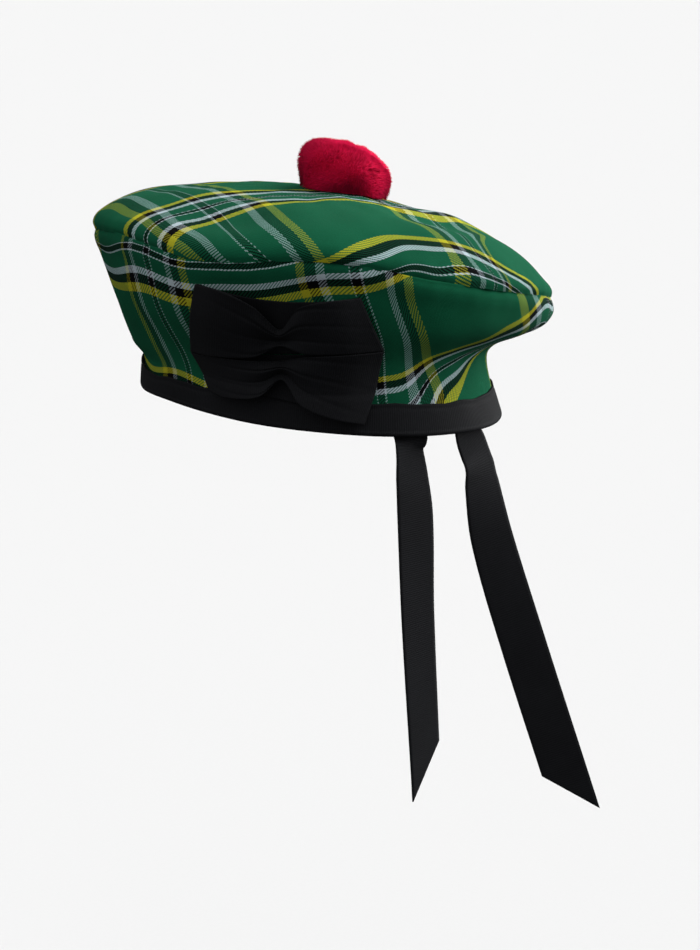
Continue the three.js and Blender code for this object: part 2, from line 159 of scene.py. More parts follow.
def unit(ways):
    """Ways made one long."""
    return ways / np.linalg.norm(ways, axis=-1, keepdims=True)


def outward(grid):
    """Unit normals of a grid of points whose rows close around the crown."""
    around = np.roll(grid, -1, 1) - np.roll(grid, 1, 1)
    return unit(np.cross(np.gradient(grid, axis=0), around))


# Low unevenness of sewn cloth. around: waves in a turn. down: millimetres for each wave.
CLOTH_WAVES = table("around down size phase", [
    (5, 160, 0.5, 20),
    (9, -95, 0.35, 140),
    (14, 60, 0.25, 250),
    (23, -41, 0.14, 75),
])


def cloth_waves(azimuth, run):
    """How far sewn cloth stands out of its smooth form."""
    total = 0
    for around, down, size, phase in zip(*CLOTH_WAVES.values()):
        total = total + size * np.cos(np.radians(around * azimuth + phase) + 2 * np.pi * run / down)
    return total


SEAM_DEPTH = 1.5  # how far both edges sink into the seam
SEAM_REACH = 2.2
ROLL_HEIGHT = 0.6  # the soft roll of cloth beside it
ROLL_AWAY = 3 * SEAM_REACH
ROLL_REACH = 2 * SEAM_REACH
SEAM_PUCKERS = 64
PUCKER_HEIGHT = 0.22
PUCKER_REACH = 9
DRIFTS = 3  # times in a turn that the puckers drift closer together and apart
PUCKER_DRIFT = 70  # degrees of a pucker's wave that they drift


def beside_seam(azimuth, away):
    """The shape of the cloth near the seam, by distance from it: a groove, a roll and small puckers."""
    groove = -SEAM_DEPTH * np.exp(-((away / SEAM_REACH) ** 2))
    roll = ROLL_HEIGHT * np.exp(-(((away - ROLL_AWAY) / ROLL_REACH) ** 2))
    turn = np.radians(SEAM_PUCKERS * azimuth + PUCKER_DRIFT * np.sin(np.radians(DRIFTS * azimuth)))
    return groove + roll + PUCKER_HEIGHT * np.sin(turn) * np.exp(-away / PUCKER_REACH)


# How the tartan lies on the side. It is a flat strip on a curve of CUT_RADIUS, with its grain upright at
# GRAIN_AZIMUTH. Each pull is a place where the cloth was eased in sewing: down and along are how far its
# lines moved there.
GRAIN_AZIMUTH = -8.5
CUT_SPREAD = 0.238  # turn of the strip for each turn around the crown
CUT_RADIUS = 492.9
SIDE_MIDDLE = (-9.05, 9.9)  # middle of the first bands of lines, along the strip and down it
JOIN_AZIMUTH = 216
SIDE_PULLS = table("azimuth run spread down along", [
    (-40, 6, 28, -4, -37),
    (-15, 5, 24, 7, -2),
    (8, 5, 26, 6, 1),
    (35, 5, 28, 5, 9),
    (62, 5, 22, 15, 7),
    (85, 8, 24, 17, 10),
    (105, 20, 26, 17, 0),
    (-30, 50, 28, -3, -3),
    (-8, 62, 26, -1, 3),
    (60, 42, 24, -1, -3),
    (78, 60, 22, 18, -11),
    (98, 55, 24, 28, -3),
    (107, 3, 18, 12, 0),
    (56, 70, 16, 4, 0),
    (-40, 70, 24, -5, 4),
    (123, 50, 24, 15, 0),
    (124, 12, 22, 8, 0),
    (148, 40, 36, 8, 0),
])
SIDE_GIRTH = 112  # radius that turns degrees around the side into millimetres


def side_cloth(azimuth, run):
    """Each place's own place in the flat strip."""
    turn = np.radians(CUT_SPREAD * (azimuth - GRAIN_AZIMUTH))
    along = (CUT_RADIUS - run) * np.sin(turn) - SIDE_MIDDLE[0]
    down = CUT_RADIUS - (CUT_RADIUS - run) * np.cos(turn) - SIDE_MIDDLE[1]
    for at, at_run, spread, pull_down, pull_along in zip(*SIDE_PULLS.values()):
        away = np.hypot(np.radians(azimuth - at) * SIDE_GIRTH, run - at_run)
        near = np.exp(-((away / spread) ** 2))
        along = along + pull_along * near
        down = down + pull_down * near
    return np.stack([along, down], -1)


def shell(name, outer, inner, cloth, ring=True):
    """A closed sheet between two facing grids of points. cloth gives the flat place of each row and
    column, with one column more than the points where the sheet closes in a ring."""
    rows, columns = outer.shape[:2]
    last_row = rows - 1
    last_column = columns - 1
    row, column = np.mgrid[0:last_row, 0:columns if ring else last_column]
    edge = column[0]
    corners = [
        [(0, row, column), (0, row + 1, column), (0, row + 1, column + 1), (0, row, column + 1)],
        [(1, row, column), (1, row, column + 1), (1, row + 1, column + 1), (1, row + 1, column)],
        [(0, 0, edge), (0, 0, edge + 1), (1, 0, edge + 1), (1, 0, edge)],
        [(0, last_row, edge + 1), (0, last_row, edge), (1, last_row, edge), (1, last_row, edge + 1)],
    ]
    if not ring:
        up = row[:, 0]
        corners += [
            [(0, up + 1, 0), (0, up, 0), (1, up, 0), (1, up + 1, 0)],
            [(0, up, last_column), (0, up + 1, last_column),
             (1, up + 1, last_column), (1, up, last_column)],
        ]
    faces = np.concatenate([
        np.stack([np.stack(np.broadcast_arrays(*corner), -1) for corner in face], -2).reshape(-1, 4, 3)
        for face in corners
    ])
    face, at_row, at_column = np.moveaxis(faces, -1, 0)
    index = (face * rows + at_row) * columns + at_column % columns
    points = np.concatenate([outer.reshape(-1, 3), inner.reshape(-1, 3)]) * MM
    mesh = bpy.data.meshes.new(name)
    mesh.from_pydata(points.tolist(), [], index.tolist())
    layer = mesh.uv_layers.new(name="cloth")
    layer.data.foreach_set("uv", cloth[at_row, at_column].astype(np.float32).ravel())
    mesh.shade_smooth()
    piece = bpy.data.objects.new(name, mesh)
    bpy.context.collection.objects.link(piece)
    return piece


def srgb(code):
    """A hex colour as linear red, green, blue and alpha."""
    shares = [int(code[i:i + 2], 16) / 255 for i in (1, 3, 5)]
    linear = [s / 12.92 if s <= 0.04045 else ((s + 0.055) / 1.055) ** 2.4 for s in shares]
    return (*linear, 1.0)


def add(tree, kind, settings=None, inputs=None):
    """Add a node with its settings. Inputs go by name or number, and each is a plain value, or a node or
    socket to link to it."""
    made = tree.nodes.new("ShaderNode" + kind)
    for name, value in (settings or {}).items():
        setattr(made, name, value)
    for key, value in (inputs or {}).items():
        if isinstance(value, bpy.types.Node):
            value = value.outputs[0]
        if isinstance(value, bpy.types.NodeSocket):
            tree.links.new(value, made.inputs[key])
        else:
            made.inputs[key].default_value = value
    return made


def new_material(name):
    """A node material with nothing in it but its output."""
    material = bpy.data.materials.new(name)
    material.use_nodes = True
    tree = material.node_tree
    tree.nodes.clear()
    return material, tree, add(tree, "OutputMaterial")


# Milled wool, woven as a two-over-two twill: where two stripes of one colour cross it is solid, and
# elsewhere the two colours show as fine slanting hatching. Milling felts the threads together, so each
# colour dulls the other, and raises a nap that takes the shine away.
WARP_PITCH = 0.54
WEFT_PITCH = 0.386  # the weft is beaten up closer than the warp
WARP_FLOAT = 1.75  # picks that a warp thread shows over, of each four
WARP_SEEN_OVER, WARP_SEEN_UNDER = 0.68, 0.01  # shares of the warp's colour in the felted surface
GREEN, DEEP_GREEN, YELLOW, BLACK, WHITE = "#166445", "#155e42", "#cac632", "#08090b", "#ccdce4"
SETT = [  # threads of each stripe, through one repeat
    (GREEN, 60), (YELLOW, 9), (BLACK, 10), (WHITE, 9), (DEEP_GREEN, 18), (WHITE, 2),
    (BLACK, 7), (WHITE, 2), (DEEP_GREEN, 18), (WHITE, 9), (BLACK, 10), (YELLOW, 9),
    (GREEN, 61),
]
SETT_THREADS = sum(width for _, width in SETT)
TWILL_THREADS = 4  # in one repeat of the twill
TONE_POWER = 2.2  # felted colours mix by how bright they look
THREAD_PAINTED_SHADE = (0.72, 1.08)  # painted shade at thread edges, painted light on their backs
NAP_SIZE = 0.7
NAP_SHADE = (0.8, 1.2)
NAP_HEIGHT = 0.8  # for a thread's height of one
CLOUD_SIZE = 22  # patches where the dye took a little more or less
CLOUD_SHADE = (0.9, 1.1)
THREAD_HEIGHT = 0.2
tartan_wool, tree, output = new_material("milled_wool_twill_tartan")
flat_place = add(tree, "SeparateXYZ", inputs={0: add(tree, "UVMap", {"uv_map": "cloth"})})
tones = {}
counts = {}
threads = {}
rounds = {}
for yarn, axis, pitch in (("warp", "X", WARP_PITCH), ("weft", "Y", WEFT_PITCH)):
    count = add(tree, "Math", {"operation": "DIVIDE"}, {0: flat_place.outputs[axis], 1: pitch})
    thread = add(tree, "Math", {"operation": "FLOOR"}, {0: count})
    within = add(tree, "Math", {"operation": "FRACT"}, {0: count})
    half_turn = add(tree, "Math", {"operation": "MULTIPLY"}, {0: within, 1: math.pi})
    rounds[yarn] = add(tree, "Math", {"operation": "SINE"}, {0: half_turn})
    centre = add(tree, "Math", {"operation": "ADD"}, {0: thread, 1: 0.5 + SETT_THREADS / 2})
    repeat = add(tree, "Math", {"operation": "DIVIDE"}, {0: centre, 1: SETT_THREADS})
    place = add(tree, "Math", {"operation": "FRACT"}, {0: repeat})
    ramp = add(tree, "ValToRGB", inputs={0: place})
    ramp.color_ramp.interpolation = "CONSTANT"
    stops = ramp.color_ramp.elements
    passed = 0
    for number, (colour, width) in enumerate(SETT):
        stop = stops[number] if number < 1 else stops.new(passed / SETT_THREADS)
        stop.position = passed / SETT_THREADS
        stop.color = srgb(colour)
        passed += width
    stops.remove(stops[-1])
    tones[yarn] = add(tree, "Gamma", inputs={0: ramp, 1: 1 / TONE_POWER})
    counts[yarn] = count
    threads[yarn] = thread
slant = add(tree, "Math", {"operation": "ADD"}, {0: threads["warp"], 1: counts["weft"]})
step = add(tree, "Math", {"operation": "FLOORED_MODULO"}, {0: slant, 1: TWILL_THREADS})
warp_over = add(tree, "Math", {"operation": "LESS_THAN"}, {0: step, 1: WARP_FLOAT})
warp_seen = add(tree, "MapRange", inputs={0: warp_over, 3: WARP_SEEN_UNDER, 4: WARP_SEEN_OVER})
felted = add(tree, "Mix", {"data_type": "RGBA"}, {0: warp_seen, 6: tones["weft"], 7: tones["warp"]})
weave = add(tree, "Gamma", inputs={0: felted.outputs[2], 1: TONE_POWER})
relief = add(tree, "Mix", {"data_type": "FLOAT"}, {0: warp_over, 2: rounds["weft"], 3: rounds["warp"]})
here = add(tree, "TexCoord").outputs["Object"]
nap = add(tree, "TexNoise", inputs={"Vector": here, "Scale": 1 / (NAP_SIZE * MM), "Detail": 3.0})
clouds = add(tree, "TexNoise", inputs={"Vector": here, "Scale": 1 / (CLOUD_SIZE * MM), "Detail": 2.0})
shade = weave
# relief: painted shade between the threads, painted light on their backs; nap, clouds: the wool's own tone
for pattern, (dark, light) in ((relief, THREAD_PAINTED_SHADE), (nap, NAP_SHADE), (clouds, CLOUD_SHADE)):
    tint = add(tree, "MapRange", inputs={0: pattern, 3: dark, 4: light})
    tinted = add(tree, "Mix", {"data_type": "RGBA", "blend_type": "MULTIPLY"}, {0: 1.0, 6: shade, 7: tint})
    shade = tinted.outputs[2]
surface = add(tree, "Math", {"operation": "MULTIPLY_ADD"}, {0: nap, 1: NAP_HEIGHT, 2: relief})
bump = add(tree, "Bump", inputs={"Strength": 0.6, "Distance": THREAD_HEIGHT * MM, "Height": surface})
wool = add(tree, "BsdfPrincipled", inputs={
    "Base Color": shade, "Roughness": 0.92, "Specular IOR Level": 0.04, "IOR": 1.53,
    "Sheen Weight": 0.01, "Sheen Roughness": 0.45, "Normal": bump,
})
tree.links.new(wool.outputs[0], output.inputs[0])

BY_SEAM = 0.12  # over this share of the side, next to the seam, its rows lie closer together
HELD_FROM = 0.8  # from this share down, the binding draws the cloth flat
JOIN_DEPTH = 1.0
side_shares = np.concatenate([
    np.linspace(0, BY_SEAM, 14)[:-1],
    np.linspace(BY_SEAM, 1, 62),
    np.linspace(1.2, 2, 4),
])[:, None]
azimuths = JOIN_AZIMUTH - 360 + 360 * np.arange(AROUND) / AROUND
azimuths_closed = np.append(azimuths, azimuths[0] + 360)
side_radii, side_heights = side_line(azimuths, side_shares)
side_run = run_along(side_radii, side_heights)
smooth_side = spot(azimuths, side_radii, side_heights)
in_binding = side_shares >= 1
from_join = np.radians((azimuths - JOIN_AZIMUTH + 180) % 360 - 180) * SIDE_GIRTH
free = 1 - np.clip((side_shares - HELD_FROM) / (1 - HELD_FROM), 0, 1)
join_groove = JOIN_DEPTH * np.exp(-((from_join / SEAM_REACH) ** 2))
side_stand = beside_seam(azimuths, side_run) + free * (cloth_waves(azimuths, side_run) - join_groove)
side_outer = smooth_side + outward(smooth_side) * np.where(in_binding, 0, side_stand)[..., None]
side_inner = side_outer - outward(smooth_side) * CLOTH
side_flat = side_cloth(azimuths_closed, np.hstack([side_run, side_run[:, :1]]))
crown_side = shell("crown_side_cloth", side_outer, side_inner, side_flat)
crown_side.data.materials.append(tartan_wool)
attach(crown_side, "root")
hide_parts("crown_side")


# Crown top
# The round of the same tartan that closes the crown. It is sewn to the side all round its edge, eased in
# so that it stands up plump in front and slopes away behind, and dented where it was handled.
CROWN_HEIGHT = 110
TOP_SOFTNESS = 0.55  # under 1, the top falls away sooner toward the seam
DENT_FADE = 12  # the higher, the nearer to the seam a dent still reaches
DENTS = table("azimuth share spread reach depth", [
    (2, 0.83, 24, 0.13, 4),
    (70, 0.84, 26, 0.15, -2.5),
    (106, 0.33, 40, 0.14, 3.5),
    (90, 0.62, 22, 0.14, 5),
    (118, 0.55, 20, 0.16, -1.5),
])


def top_line(azimuth, share):
    """Radius and height of the top by azimuth (columns) and share of the way to the seam (rows)."""
    seam_z = section(azimuth, "seam_z")
    fullness = section(azimuth, "fullness")
    rise = (1 - share ** fullness) ** (1 / (TOP_SOFTNESS * fullness))
    rise = rise + (1 - share - rise) * section(azimuth, "slope")
    height = seam_z + (CROWN_HEIGHT - seam_z) * rise
    for at, at_share, spread, reach, depth in zip(*DENTS.values()):
        turn = (azimuth - at + 180) % 360 - 180
        dent = depth * np.exp(-((turn / spread) ** 2) - ((share - at_share) / reach) ** 2)
        height = height - dent * (1 - share ** DENT_FADE)
    return section(azimuth, "seam_r") * share, height


# The tartan on the top is a flat disc: its bands run across TOP_FACING, and pulls ease it as on the side.
# The disc was cut with the cloth turned over, so its twill slants the other way.
TOP_FACING = 67.6
TOP_MIDDLE = (-87, 24.9)  # middle of the first bands of lines, along them and toward TOP_FACING
TOP_PULLS = table("azimuth run spread toward along", [
    (-45, 110, 30, 7, -2),
    (-25, 114, 20, 3, 3),
    (-8, 112, 18, 5, 5),
    (14, 112, 22, 11, 4),
    (34, 118, 22, -11, 4),
    (40, 124, 13, -2.6, 0),
    (50, 122, 16, -11, -6),
    (50, 121, 11, 1.3, 0),
    (64, 128, 16, -10, 5),
    (71, 132, 10, -4, 0),
    (78, 128, 16, -7, -6),
    (90, 114, 18, -14, 35),
    (112, 118, 30, -26, 30),
    (-30, 78, 26, -1, -1),
    (0, 78, 28, 4, -3),
    (38, 80, 30, -4, 7),
    (70, 82, 28, -19, 9),
    (95, 78, 28, -13, 4),
    (120, 75, 34, 2, 9),
])


def top_cloth(azimuth, run):
    """Each place's own place in the flat disc."""
    turn = np.radians(azimuth - TOP_FACING)
    along = run * np.sin(turn) - TOP_MIDDLE[0]
    toward = run * np.cos(turn) - TOP_MIDDLE[1]
    x, y = np.moveaxis(spot(azimuth, run, 0)[..., :2], -1, 0)
    for at, at_run, spread, pull_toward, pull_along in zip(*TOP_PULLS.values()):
        pull_x, pull_y, _ = spot(at, at_run, 0)
        near = np.exp(-((x - pull_x) ** 2 + (y - pull_y) ** 2) / spread ** 2)
        along = along + pull_along * near
        toward = toward + pull_toward * near
    return np.stack([-along, toward], -1)


TOP_ROWS = 84
FIRST_ROW = 0.003  # a tiny ring around the middle, under the pompom
PUCKERS_TURNED = 1.5  # degrees from the side's puckers to the top's
WAVES_GROW = 60  # from the middle out, the waves grow to their full size over this length
top_shares = np.sin(np.pi / 2 * np.linspace(FIRST_ROW, 1, TOP_ROWS))[:, None]
top_radii, top_heights = top_line(azimuths, top_shares)
top_run = run_along(top_radii, top_heights)
smooth_top = spot(azimuths, top_radii, top_heights)
to_seam = top_run[-1] - top_run
top_waves = cloth_waves(azimuths, top_run) * np.clip(top_run / WAVES_GROW, 0, 1)
top_stand = beside_seam(azimuths + PUCKERS_TURNED, to_seam) + top_waves
top_outer = smooth_top + outward(smooth_top) * top_stand[..., None]
top_inner = top_outer - outward(smooth_top) * CLOTH
top_flat = top_cloth(azimuths_closed, np.hstack([top_run, top_run[:, :1]]))
crown_top = shell("crown_top_cloth", top_outer, top_inner, top_flat)
crown_top.data.materials.append(tartan_wool)
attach(crown_top, "root")
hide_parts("crown_top")

# Binding
# A length of black ribbed ribbon folded over the raw edge of the crown side and sewn through, so that
# an outer leaf, a rounded fold and an inner leaf go all the way around the head.
RIB_PITCH = 1.1  # real ribs are about 0.5 mm; drawn coarser so that they show
RIB_AZIMUTH = 36  # where the spacing of the ribs around the binding is true
WAVER = 0.25  # how far its edges waver up and down
WAVERS = ((17, 0), (29, 50))  # waves in a turn, and the degrees that each starts at
STITCH_INSET = 2.0  # from its upper edge down to the stitches
STITCH_DEPTH = 0.45
STITCH_REACH = 0.7
# The cloth bulges over the ribbon in front. hidden: how much of the outer leaf's height it takes.
# slack: how far the fold sags.
BAND_LIE = table("azimuth hidden slack", [
    (-144, 0, 0),
    (-90, 2, 0.8),
    (-60, 2.5, 1.2),
    (-50, 4, 1.4),
    (-40, 5.5, 0.8),
    (-28, 4, 0.2),
    (-6, 3.4, 0.5),
    (16, 2, 1),
    (40, 0, 0.6),
    (80, 0, -0.4),
    (110, 0, 0),
    (216, 0, 0),
])

# Black rayon grosgrain: matt and nearly black, with painted light and shade on its fine ribs across its
# width, lighter on the crests and darker between, and lint and pressing marks that lift it here and there.
RIBBON_TONES = ((0.25, "#0d0d0f"), (0.95, "#202124"))  # shade and colour, darkest and palest
GROUND_SHADE = 0.25
# share of painted light on the ribs' crests and painted shade between them
RIB_PAINTED_SHADE = 0.12
LINT_SIZE = 0.9
LINT_SHADE = 0.35
LINT_HEIGHT = 0.5  # for a rib's height of one
PRESSED_SIZE = 26  # pressing marks
PRESSED_SHADE = 0.5
PRESSED_ROUGHNESS = (0.6, 0.8)
RIB_HEIGHT = 0.15


def shaded(tree, ground, shades):
    """A ground shade with a share of each pattern added to it."""
    for pattern, share in shades:
        ground = add(tree, "Math", {"operation": "MULTIPLY_ADD"}, {0: pattern, 1: share, 2: ground})
    return ground


def two_tones(tree, shade, tones):
    """A colour that runs from a dark tone to a pale one as the shade rises. tones: shade and colour."""
    ramp = add(tree, "ValToRGB", inputs={0: shade})
    for stop, (at, code) in zip(ramp.color_ramp.elements, tones):
        stop.position = at
        stop.color = srgb(code)
    return ramp


black_ribbon, tree, output = new_material("black_grosgrain_ribbon")
flat_place = add(tree, "SeparateXYZ", inputs={0: add(tree, "UVMap", {"uv_map": "cloth"})})
rib_turn = add(tree, "Math", {"operation": "MULTIPLY"},
               {0: flat_place.outputs["X"], 1: 2 * math.pi / RIB_PITCH})
ribs = add(tree, "Math", {"operation": "SINE"}, {0: rib_turn})
here = add(tree, "TexCoord").outputs["Object"]
lint = add(tree, "TexNoise", inputs={"Vector": here, "Scale": 1 / (LINT_SIZE * MM), "Detail": 4.0})
pressed = add(tree, "TexNoise", inputs={"Vector": here, "Scale": 1 / (PRESSED_SIZE * MM), "Detail": 3.0})
# The ribs paint light and shade into the colour; lint and pressing marks are the ribbon's own uneven tone.
shade = shaded(tree, GROUND_SHADE, ((ribs, RIB_PAINTED_SHADE), (lint, LINT_SHADE), (pressed, PRESSED_SHADE)))
surface = add(tree, "Math", {"operation": "MULTIPLY_ADD"}, {0: lint, 1: LINT_HEIGHT, 2: ribs})
bump = add(tree, "Bump", inputs={"Strength": 0.35, "Distance": RIB_HEIGHT * MM, "Height": surface})
dull = add(tree, "MapRange", inputs={0: pressed, 3: PRESSED_ROUGHNESS[0], 4: PRESSED_ROUGHNESS[1]})
grosgrain = add(tree, "BsdfPrincipled", inputs={
    "Base Color": two_tones(tree, shade, RIBBON_TONES), "Roughness": dull, "Specular IOR Level": 0.07,
    "IOR": 1.48, "Sheen Weight": 0.01, "Sheen Roughness": 0.4, "Normal": bump,
})
tree.links.new(grosgrain.outputs[0], output.inputs[0])

LEAF_ROWS = 16
FOLD_ROWS = 15
FOLD_TOP = 2.5  # where the leaves end and the fold begins
FOLD_ROUND = 0.8  # 1 is a plain half round, and less is fuller
leaf_shares = np.linspace(1, 0, LEAF_ROWS)
bend = np.linspace(0, np.pi, FOLD_ROWS)
no_leaf = np.zeros(LEAF_ROWS)
no_fold = np.zeros(FOLD_ROWS)
outer_share = np.concatenate([leaf_shares, no_fold, no_leaf])[:, None]
inner_share = np.concatenate([no_leaf, no_fold, leaf_shares[::-1]])[:, None]
inward = np.concatenate([no_leaf, (1 - np.cos(bend)) / 2, no_leaf + 1])[:, None]
droop = np.concatenate([no_leaf, np.sin(bend) ** FOLD_ROUND, no_leaf])[:, None]
dip = section(azimuths, "dip")
hidden = between(BAND_LIE, "azimuth", "hidden", azimuths)
slack = between(BAND_LIE, "azimuth", "slack", azimuths)
waver = WAVER * sum(np.cos(np.radians(waves * azimuths + start)) for waves, start in WAVERS)
leaf_height = BAND_HEIGHT - FOLD_TOP
leaf_heights = FOLD_TOP + outer_share * (leaf_height - hidden) + inner_share * leaf_height
band_heights = leaf_heights - droop * FOLD_TOP
thin_heights = leaf_heights - droop * (FOLD_TOP - RIBBON)
settle = waver * (outer_share + inner_share) - slack * (1 - outer_share) * (1 - inner_share) - dip
stitched = np.exp(-(((band_heights - BAND_HEIGHT + hidden + STITCH_INSET) / STITCH_REACH) ** 2))
pressed_in = STITCH_DEPTH * stitched * (1 - np.clip(2 * inward, 0, 1))
band_face = band_radius(azimuths, band_heights) - pressed_in
band_outer = spot(azimuths, band_face - inward * BAND_WALL, band_heights + settle)
band_inner = spot(azimuths, band_face - RIBBON - inward * (BAND_WALL - 2 * RIBBON), thin_heights + settle)
band_girth = np.radians(azimuths_closed) * band_radius(RIB_AZIMUTH, 0)
band_across = np.append(0, np.cumsum(np.linalg.norm(np.diff(band_outer[:, 0], axis=0), axis=-1)))
band_cloth = np.stack(np.broadcast_arrays(band_girth, band_across[:, None]), -1)
binding = shell("ribbon_binding", band_outer, band_inner, band_cloth)
binding.data.materials.append(black_ribbon)
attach(binding, "root")
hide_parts("headband")

# Bow
# Two wide loops of the same ribbon, one above the other, each flat behind and pinched in the middle of
# its front leaf, sewn to the wearer's left side over the crown and the binding.
BOW_AZIMUTH = 25
BOW_SEAT = 1.0  # how far the back leaves stand off their bed
BOW_TAPER = 0.2  # how much narrower the bow is at its upper and lower edge
BOW_SAG = 4.5  # how far each loop's outer edge is drawn in behind
GATHER = 1.6
GATHER_REACH = 14
GATHER_WAVES = 1.5  # across the ribbon
CREASE = 1.2
CREASE_REACH = 20
CREASES = 3  # across the ribbon
CREASE_FAN = 75  # over this length the creases shift by one spacing
CREASE_SHARPNESS = 6
BOW_THICKNESS = 0.8
BAND_STEP_IN = 3  # the bed eases in by this much from the binding to the wall above it
BAND_STEP_UP = 12
BED_ROWS = 41
LOOP_ROWS = 45
FRONT_COLUMNS = 120
BACK_COLUMNS = 50
# The fold at each end of a loop, at three places: past the end, and out from the bed
FOLD_PAST = np.array([1.0, 1.3, 0.8])
FOLD_OUT = np.array([3.1, 2.3, 1.5])
UPPER_LOOP = table("along low high puff", [
    (-50.5, 30.5, 68.5, 3.5),
    (-32, 31.5, 68, 10),
    (-12, 34.5, 61, 11),
    (0, 41, 49.5, 5.5),
    (12, 39, 62, 11),
    (30, 40, 67, 10),
    (47.5, 41.5, 68.5, 3.5),
])
LOWER_LOOP = table("along low high puff", [
    (-50.5, 12, 30, 3.5),
    (-32, 11, 31, 9),
    (-12, 14, 32, 10),
    (0, 23, 33, 5.5),
    (12, 12.5, 37, 11),
    (30, 6.5, 39.5, 10),
    (47.5, 3.5, 41, 3.5),
])


def eased(share):
    """A share from 0 to 1 that sets off and arrives gently."""
    share = np.clip(share, 0, 1)
    return share * share * (3 - 2 * share)


def bed_radius(azimuth, height):
    """The surface that the bow lies on: the crown side, or the binding where that stands further out."""
    shape = np.broadcast(azimuth, height).shape
    azimuth = np.broadcast_to(azimuth, shape).ravel()
    height = np.broadcast_to(height, shape).ravel()
    radii, heights = side_line(azimuth, np.linspace(0, 2, BED_ROWS))
    above = np.clip((heights > height).sum(0) - 1, 0, len(heights) - 2)[None]
    upper_z, lower_z = (np.take_along_axis(heights, k, 0)[0] for k in (above, above + 1))
    upper_r, lower_r = (np.take_along_axis(radii, k, 0)[0] for k in (above, above + 1))
    down = np.clip((upper_z - height) / (upper_z - lower_z), 0, 1)
    wall = upper_r + (lower_r - upper_r) * down
    up_band = height + section(azimuth, "dip")
    step_in = BAND_STEP_IN * eased((up_band - BAND_HEIGHT) / BAND_STEP_UP)
    over_band = band_radius(azimuth, up_band) - step_in
    return np.maximum(wall, over_band).reshape(shape)


def bow_loop(name, rows, upward):
    """One loop: its front leaf from end to end, a fold, its back leaf and another fold."""
    first, last = rows["along"][0], rows["along"][-1]
    front = first + (last - first) * (0.5 - 0.5 * np.cos(np.linspace(0, np.pi, FRONT_COLUMNS)))
    back = np.linspace(last, first, BACK_COLUMNS)
    along = np.concatenate([front, last + FOLD_PAST, back, first - FOLD_PAST[::-1]])
    folds = len(FOLD_PAST)
    share = (back - first) / (last - first)
    sag = 4 * BOW_SAG * share * (1 - share)

    def around(column, behind):
        far_end, near_end = (np.full(folds, rows[column][end]) for end in (-1, 0))
        return np.concatenate([between(rows, "along", column, front), far_end, behind, near_end])

    low_back, high_back = (rows[column][0] + (rows[column][-1] - rows[column][0]) * share
                           for column in ("low", "high"))
    low = around("low", low_back + (0 if upward else sag))
    high = around("high", high_back - (sag if upward else 0))
    out = around("puff", np.full(len(back), BOW_SEAT))
    out[len(front):len(front) + folds] = FOLD_OUT
    out[-folds:] = FOLD_OUT[::-1]
    is_front = np.arange(len(along)) < len(front)
    across = np.linspace(0, 1, LOOP_ROWS)[:, None]
    height = low + (high - low) * across
    taper = 1 - BOW_TAPER * (across if upward else 1 - across)
    near_pinch = np.where(is_front, np.exp(-((along / GATHER_REACH) ** 2)), 0)
    gathers = GATHER * near_pinch * np.cos(2 * np.pi * GATHER_WAVES * across)
    near_crease = np.where(is_front, np.exp(-np.abs(along) / CREASE_REACH), 0)
    fan = np.cos(2 * np.pi * (CREASES * across + along / CREASE_FAN))
    gathers = gathers - CREASE * near_crease * np.maximum(fan, 0) ** CREASE_SHARPNESS
    run_along_loop = np.roll(along, -1) - np.roll(along, 1)
    run_out = np.roll(out, -1) - np.roll(out, 1)
    length = np.hypot(run_along_loop, run_out)
    girth = bed_radius(BOW_AZIMUTH, height)
    leaves = []
    for half in (BOW_THICKNESS / 2, -BOW_THICKNESS / 2):
        place = taper * along - run_out / length * half
        azimuth = BOW_AZIMUTH + np.degrees(place / girth)
        stand = out + gathers + run_along_loop / length * half
        leaves.append(spot(azimuth, bed_radius(azimuth, height) + stand, height))
    path = np.append(0, np.cumsum(np.hypot(np.diff(along), np.diff(out))))
    path = np.append(path, path[-1] + 1)
    width = (high - low).max()
    flat = np.stack(np.broadcast_arrays(path, across * width), -1)
    piece = shell(name, leaves[0], leaves[1], flat)
    piece.data.materials.append(black_ribbon)
    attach(piece, "root")
    return piece


bow_upper = bow_loop("bow_upper_ribbon", UPPER_LOOP, True)
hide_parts("bow_upper")
bow_lower = bow_loop("bow_lower_ribbon", LOWER_LOOP, False)
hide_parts("bow_lower")

# Tails
# Two free ends of the ribbon, sewn inside the binding at the back of the head. Each hangs down, turns a
# little on the way and ends in a slanted cut.
TAIL_WIDTH = 24
TAIL_TUCK = 12  # how far a tail reaches up inside the binding
SEWN_DOWN_TO = -4
TAIL_BOW = 1.8  # how far a flat ribbon's middle stands off the curved inside of the binding
TAIL_THICKNESS = 0.8
TAIL_ROWS = 150
TAIL_COLUMNS = 15
GATHERED_LENGTH = 24  # below the sewn end, a tail opens out to its full width over this length
LEFT_HANG = table("x y z facing", [
    (36.8, 85.6, -10, 84),
    (36.3, 86.6, -18, 88),
    (33.7, 89.7, -45, 79),
    (31, 93.5, -95, 83),
    (25.2, 101.2, -178, 88),
])
RIGHT_HANG = table("x y z facing", [
    (-5.7, 96.4, -14, 91),
    (-7.6, 99.1, -22, 89),
    (-8.6, 100.5, -31, 81),
    (-13.3, 106.4, -60, 63),
    (-24.7, 122.3, -113, 48),
    (-43.4, 148.1, -194, 40),
])


